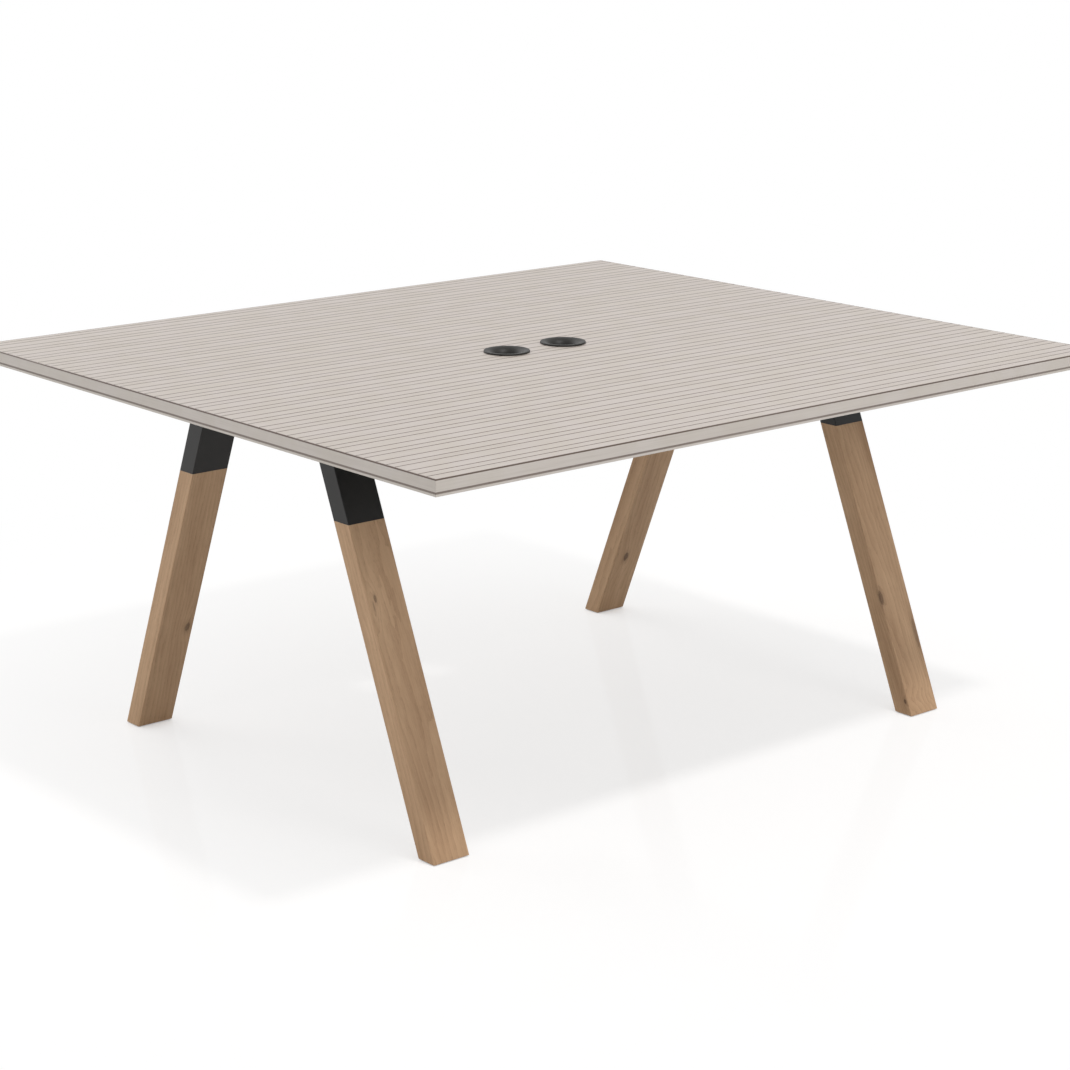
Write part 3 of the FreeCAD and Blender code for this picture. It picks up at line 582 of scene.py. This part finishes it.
# Decor sheet: a pale striped laminate on the face of the top, in threes of narrow dark lines across
# the whole width. Each line is pressed in as a shallow score, and two holes take the cable ports.
STRIPE_REPEAT = 0.080
STRIPE_OFFSETS = (0.0, 0.032, 0.0533)
STRIPE_WIDTH = 0.0031
SCORE_DEPTH = 0.00025
DECOR_TONES = (screen(190, 180, 173), screen(187, 177, 167), screen(174, 163, 154))
STRIPE_INK = screen(80, 60, 48)
# How often fibres and streaks come per metre, along the decor and across it.
DECOR_FIBRES = (9, 520)
DECOR_STREAKS = (2, 60)
HOLE_RADIUS = 0.040
HOLE_SIDES = 128
# The scoring cutter's length in widths of the sheet, and the drill's in thicknesses of it.
CUTTER_OVERRUN = 1.1
DRILL_OVERRUN = 4


def drawn_out(grain_axis, along, across):
    """How often something comes per metre on each axis, when the grain draws it out along one."""
    return tuple(along if axis == grain_axis else across for axis in "XYZ")


def striped_laminate(name, tones, along, counted_on, lines):
    """Decor in two pale tones with darker fibres along one axis, and inked lines counted on another.
    Each line has its offset in a repeat, its width and how dark it is."""
    material, place = new_finish(name, {"Specular IOR Level": 0.35})
    fibre = place.noise(drawn_out(along, *DECOR_FIBRES), detail=4.0, roughness=0.65)
    streak = place.noise(drawn_out(along, *DECOR_STREAKS), detail=3.0)
    cloud = place.noise((16, 16, 16), detail=2.0)
    count = place.axis(counted_on)
    inked = []
    for offset, width, depth in lines:
        apart = (count - offset).maths("WRAP", -STRIPE_REPEAT / 2, STRIPE_REPEAT / 2).maths("ABSOLUTE")
        inked.append(depth * (1 - apart.step(0.35 * width, 0.6 * width)))
    line = highest(inked)
    pale, warm, dark = tones
    grain = 0.55 * fibre.step(0.42, 0.8) + 0.35 * streak.step(0.45, 0.8)
    ground = grain.mix(cloud.step(0.35, 0.65).mix(pale, warm), dark)
    return feed(
        material,
        {
            "Base Color": (line * (1 - 0.3 * streak.step(0.5, 0.8))).mix(ground, STRIPE_INK),
            "Roughness": 0.3 + 0.16 * fibre,
            "Normal": (fibre - 0.6 * line).relief(0.2, 0.0001),
        },
    )


def scored_sheet_tree():
    """A flat sheet with three rows of shallow V scores, counted from its middle, and two round holes."""
    tree, size = shape_tree(
        "scored_sheet",
        {
            "Middle": "NodeSocketVector",
            "Size": "NodeSocketVector",
            "Repeat": "NodeSocketFloat",
            "Repeats": "NodeSocketInt",
            "First Line": "NodeSocketFloat",
            "Second Line": "NodeSocketFloat",
            "Third Line": "NodeSocketFloat",
            "Score Width": "NodeSocketFloat",
            "Score Depth": "NodeSocketFloat",
            "Hole Spacing": "NodeSocketFloat",
            "Hole Radius": "NodeSocketFloat",
            "Finish": "NodeSocketMaterial",
        },
    )
    blank = size["Size"].node("GeometryNodeMeshCube", None, {"Size": size["Size"]})
    thickness = size["Size"].axis("Z")
    bar = blank.node("GeometryNodeMeshCube", None, {"Size": (1, math.sqrt(0.5), math.sqrt(0.5))})
    edge_up = bar.node("GeometryNodeTransform", None, {"Geometry": bar, "Rotation": (math.pi / 4, 0, 0)})
    reach = size["Size"].axis("X") * CUTTER_OVERRUN
    span = {"X": reach, "Y": size["Score Width"], "Z": size["Score Depth"] * 2}
    cutter_size = bar.node("ShaderNodeCombineXYZ", None, span)
    cutter = bar.node("GeometryNodeTransform", None, {"Geometry": edge_up, "Scale": cutter_size})
    first_row = size["Repeat"] * size["Repeats"] * -0.5
    rows = []
    for line in ("First Line", "Second Line", "Third Line"):
        start = bar.node("ShaderNodeCombineXYZ", None, {"Y": first_row + size[line], "Z": thickness / 2})
        stride = bar.node("ShaderNodeCombineXYZ", None, {"Y": size["Repeat"]})
        count = {"Count": size["Repeats"], "Start Location": start, "Offset": stride}
        rows.append(bar.node("GeometryNodeMeshLine", None, count))
    points = bar.node("GeometryNodeJoinGeometry", None, {"Geometry": rows})
    scores = bar.node("GeometryNodeInstanceOnPoints", None, {"Points": points, "Instance": cutter})
    scored = bar.node(
        "GeometryNodeMeshBoolean",
        {"operation": "DIFFERENCE", "solver": "EXACT"},
        {"Mesh 1": blank, "Mesh 2": bar.node("GeometryNodeRealizeInstances", None, {"Geometry": scores})},
    )
    bit = {"Vertices": HOLE_SIDES, "Radius": size["Hole Radius"], "Depth": thickness * DRILL_OVERRUN}
    drill = bar.node("GeometryNodeMeshCylinder", None, bit)
    left_hole = bar.node("ShaderNodeCombineXYZ", None, {"X": size["Hole Spacing"] * -0.5})
    apart = bar.node("ShaderNodeCombineXYZ", None, {"X": size["Hole Spacing"]})
    pair = bar.node("GeometryNodeMeshLine", None, {"Count": 2, "Start Location": left_hole, "Offset": apart})
    holes = bar.node("GeometryNodeInstanceOnPoints", None, {"Points": pair, "Instance": drill})
    drilled = bar.node(
        "GeometryNodeMeshBoolean",
        {"operation": "DIFFERENCE", "solver": "EXACT"},
        {"Mesh 1": scored, "Mesh 2": bar.node("GeometryNodeRealizeInstances", None, {"Geometry": holes})},
    )
    laid = bar.node("GeometryNodeTransform", None, {"Geometry": drilled, "Translation": size["Middle"]})
    return close_tree(tree, laid, size["Finish"])


low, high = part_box("decor_sheet")
even_lines = [(offset, STRIPE_WIDTH, 1.0) for offset in STRIPE_OFFSETS]
port_left = middle("cable_port_left")
port_right = middle("cable_port_right")
decor_sheet = grown(
    "scored_decor_sheet",
    scored_sheet_tree(),
    {
        "Middle": (low + high) / 2,
        "Size": high - low,
        "Repeat": STRIPE_REPEAT,
        "Repeats": 2 * math.ceil((high.y - low.y) / 2 / STRIPE_REPEAT),
        "First Line": STRIPE_OFFSETS[0],
        "Second Line": STRIPE_OFFSETS[1],
        "Third Line": STRIPE_OFFSETS[2],
        "Score Width": STRIPE_WIDTH,
        "Score Depth": SCORE_DEPTH,
        "Hole Spacing": port_right.x - port_left.x,
        "Hole Radius": HOLE_RADIUS,
        "Finish": striped_laminate("striped_laminate", DECOR_TONES, "X", "Y", even_lines),
    },
)
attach(decor_sheet, "desk")
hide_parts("decor_sheet")


# Edge bands: strips of the same striped decor on plastic, glued to the core and trimmed flush, with
# eased arrises, in tones painted lighter than the top's as painted light on their upright faces. The
# long ones cover the ends of the short ones and are rounded at the corners. One dark line lies along
# the top arris and one is scored along the lower part.
BAND_ARRIS = 0.0006
CORNER_ROUND = 0.0013
ARRIS_STEPS = 4
ARRIS_LINE_DROP = 0.001
ARRIS_LINE_WIDTH = 0.0027
SCORE_DROP = 0.0222
SCORE_WIDTH = 0.0037
# Each line's drop from the top of the band, its width and how dark it is.
BAND_LINES = ((ARRIS_LINE_DROP, ARRIS_LINE_WIDTH, 0.92), (SCORE_DROP, SCORE_WIDTH, 0.74))
# Painted light: the bands' tones are lighter than the top's decor, to make up for the lamps' weaker light on
# their upright faces.
BAND_TONES_PAINTED_LIGHTER = (screen(207, 199, 192), screen(204, 196, 187), screen(190, 181, 173))
BAND_SCORE_DEPTH = 0.0003


def quarter_turn(across, up, radius, first_angle):
    """Points on a quarter of a circle about a centre, from its first angle in degrees."""
    angles = [math.radians(first_angle + 90 * step / ARRIS_STEPS) for step in range(ARRIS_STEPS + 1)]
    return [(across + radius * math.cos(angle), up + radius * math.sin(angle)) for angle in angles]


def band_section(thick, height):
    """How far out and how far up each point of the band lies, from the foot of its glued face."""
    score = height - SCORE_DROP
    half = SCORE_WIDTH / 2
    foot_arris = quarter_turn(thick - BAND_ARRIS, BAND_ARRIS, BAND_ARRIS, -90)
    groove = [(thick, score - half), (thick - BAND_SCORE_DEPTH, score), (thick, score + half)]
    top_arris = quarter_turn(thick - BAND_ARRIS, height - BAND_ARRIS, BAND_ARRIS, 0)
    return [(0, 0), *foot_arris, *groove, *top_arris, (0, height)]


def edge_band(node, out, along, end_round, finish):
    """A band in the place of a plain one: its section, facing out, drawn along the whole of its length
    and drawn in round its ends."""
    low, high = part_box(node)
    thick = abs((high - low).dot(out))
    glued_face = max(low.dot(out), high.dot(out)) - thick
    turn = quarter_turn(end_round, thick - end_round, end_round, 90) if end_round else [(0, thick)]
    places = [(low.dot(along) + inset, reach) for inset, reach in reversed(turn)]
    places += [(high.dot(along) - inset, reach) for inset, reach in turn]
    shape = bmesh.new()
    loops = []
    for place, reach in places:
        foot = along * place + out * glued_face + Vector((0, 0, low.z))
        section = band_section(reach, high.z - low.z)
        loops.append([shape.verts.new(foot + out * point + Vector((0, 0, up))) for point, up in section])
    for loop, following in zip(loops, loops[1:]):
        for index in range(len(loop)):
            shape.faces.new((loop[index - 1], loop[index], following[index], following[index - 1]))
    shape.faces.new(loops[0])
    shape.faces.new(loops[-1])
    bmesh.ops.recalc_face_normals(shape, faces=shape.faces)
    mesh = bpy.data.meshes.new(f"striped_{node}")
    shape.to_mesh(mesh)
    shape.free()
    mesh.materials.append(finish)
    band = bpy.data.objects.new(f"striped_{node}", mesh)
    bpy.context.scene.collection.objects.link(band)
    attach(band, "desk")
    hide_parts(node)


band_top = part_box("edge_band_front")[1].z
band_lines = [((band_top - drop) % STRIPE_REPEAT, width, depth) for drop, width, depth in BAND_LINES]
long_band = striped_laminate("striped_long_band", BAND_TONES_PAINTED_LIGHTER, "X", "Z", band_lines)
short_band = striped_laminate("striped_short_band", BAND_TONES_PAINTED_LIGHTER, "Y", "Z", band_lines)
edge_band("edge_band_front", Vector((0, -1, 0)), Vector((1, 0, 0)), CORNER_ROUND, long_band)
edge_band("edge_band_back", Vector((0, 1, 0)), Vector((1, 0, 0)), CORNER_ROUND, long_band)
edge_band("edge_band_left", Vector((-1, 0, 0)), Vector((0, 1, 0)), 0, short_band)
edge_band("edge_band_right", Vector((1, 0, 0)), Vector((0, 1, 0)), 0, short_band)


# Cable ports: two trumpet-mouthed bushes of satin black plastic dropped into the top, each drawn
# down from below by a notched ring nut of the same stuff.
port_plastic = moulded("port_plastic", screen(29, 27, 23), screen(22, 20, 17), 0.42, 900)
for side in ("left", "right"):
    dress(f"cable_port_{side}", port_plastic)
    dress(f"cable_port_ring_{side}", port_plastic)


# Studio: a wide white floor that keeps the desk's soft shadow, even white light all round, a key
# lamp in front and above, and three wider lamps that fill in from the left, the front and the
# back. The camera stands to the front left, well above the top.
IMAGE_SIZE = 1070
FOCAL_PIXELS = 2599.6
SENSOR = 36.0
CAMERA_AT = (-3.1502, -3.7199, 1.6737)
CAMERA_YAW = 0.7026
CAMERA_DIP = 0.2614
FLOOR_REACH = 80.0
FLOOR_SHADE = 0.37
SHADE_REACH = (0.3, 2.0)
CONTACT_SHADE = 0.85
CONTACT_REACH = 0.06
CONTACT_SAMPLES = 4
MIRRORED_SHADE = 0.8
MIRRORED_REACH = (1.6, 3.6)
FLOOR_POLISH = 0.1
POLISH_ROUGHNESS = 0.08
FLOOR_WHITE = (1.15, 1.12, 1.1, 1)
FLOOR_BOUNCE = (0.64, 0.64, 0.64, 1)
SKY_LEVEL = 0.46
# Each lamp's place and width in metres, and its power in watts.
LAMPS = {
    "key_lamp": (Vector((0.45, -3.1, 6.9)), 0.65, 210.0),
    "left_fill": (Vector((-6.0, -0.4, 0.9)), 1.6, 42.0),
    "front_fill": (Vector((0.8, -6.2, 3.4)), 3.0, 70.0),
    "back_fill": (Vector((-1.3, 5.6, 4.0)), 7.0, 165.0),
}

floor_mesh = bpy.data.meshes.new("studio_floor")
ends = (-FLOOR_REACH, FLOOR_REACH)
floor_mesh.from_pydata([(x, y, 0) for x in ends for y in ends], [], [(0, 2, 3, 1)])
studio_floor = bpy.data.objects.new("studio_floor", floor_mesh)
bpy.context.scene.collection.objects.link(studio_floor)


def light_path(tree):
    return Wire(tree.nodes.new("ShaderNodeLightPath").outputs["Is Camera Ray"])


def seen_directly(path):
    """1 for what the camera sees, straight, mirrored or through glass, and 0 for light that bounces."""
    return highest((path, path["Is Glossy Ray"], path["Is Transmission Ray"]))


# The floor is white to the eye and takes only so much of the desk's shadow: most of it close under
# the feet and in mirrored views, less from the middle outwards, and none far out. A faint polish
# mirrors the legs.
floor_paint = bpy.data.materials.new("studio_white")
floor_paint.use_nodes = True
floor_tree = floor_paint.node_tree
path = light_path(floor_tree)
seen = seen_directly(path)
paint = seen.node("ShaderNodeBsdfDiffuse", None, {"Color": seen.mix(FLOOR_BOUNCE, FLOOR_WHITE)})
glow = seen.node("ShaderNodeEmission", None, {"Color": (1, 1, 1, 1), "Strength": 1.0})
spot = Wire(floor_tree.nodes.new("ShaderNodeTexCoord").outputs["Object"]).length()
near_things = {"Distance": CONTACT_REACH}
open_floor = seen.node("ShaderNodeAmbientOcclusion", {"samples": CONTACT_SAMPLES}, near_things)["AO"]
under_desk = FLOOR_SHADE * (1 - spot.step(*SHADE_REACH))
contact = CONTACT_SHADE * (1 - open_floor)
mirrored = MIRRORED_SHADE * path["Is Glossy Ray"] * (1 - spot.step(*MIRRORED_REACH))
shade = highest((under_desk, contact, mirrored))
gloss = seen.node("ShaderNodeBsdfGlossy", None, {"Roughness": POLISH_ROUGHNESS})
polish = {"Fac": FLOOR_POLISH * path, "Shader": paint, "Shader_001": gloss}
polished = seen.node("ShaderNodeMixShader", None, polish)
mixed = {"Fac": seen * (1 - shade), "Shader": polished, "Shader_001": glow}
lit = seen.node("ShaderNodeMixShader", None, mixed)
floor_tree.links.new(lit.socket, floor_tree.nodes["Material Output"].inputs["Surface"])
floor_mesh.materials.append(floor_paint)

world = bpy.data.worlds.new("studio_light")
world.use_nodes = True
bpy.context.scene.world = world
sky = seen_directly(light_path(world.node_tree))
level = SKY_LEVEL + (1 - SKY_LEVEL) * sky
world.node_tree.links.new(level.socket, world.node_tree.nodes["Background"].inputs["Strength"])
world.node_tree.nodes["Background"].inputs["Color"].default_value = (1, 1, 1, 1)

for name, (at, size, power) in LAMPS.items():
    lamp = bpy.data.lights.new(name, "AREA")
    lamp.shape = "DISK"
    lamp.size = size
    lamp.energy = power
    stand = bpy.data.objects.new(name, lamp)
    stand.location = at
    stand.rotation_euler = (-at).to_track_quat("-Z", "Y").to_euler()
    bpy.context.scene.collection.objects.link(stand)

lens = bpy.data.cameras.new("photo_camera")
lens.sensor_width = SENSOR
lens.lens = FOCAL_PIXELS / IMAGE_SIZE * SENSOR
camera = bpy.data.objects.new("photo_camera", lens)
camera.location = CAMERA_AT
camera.rotation_euler = (math.pi / 2 - CAMERA_DIP, 0, -CAMERA_YAW)
bpy.context.scene.collection.objects.link(camera)
bpy.context.scene.camera = camera
bpy.context.scene.view_settings.view_transform = "Standard"
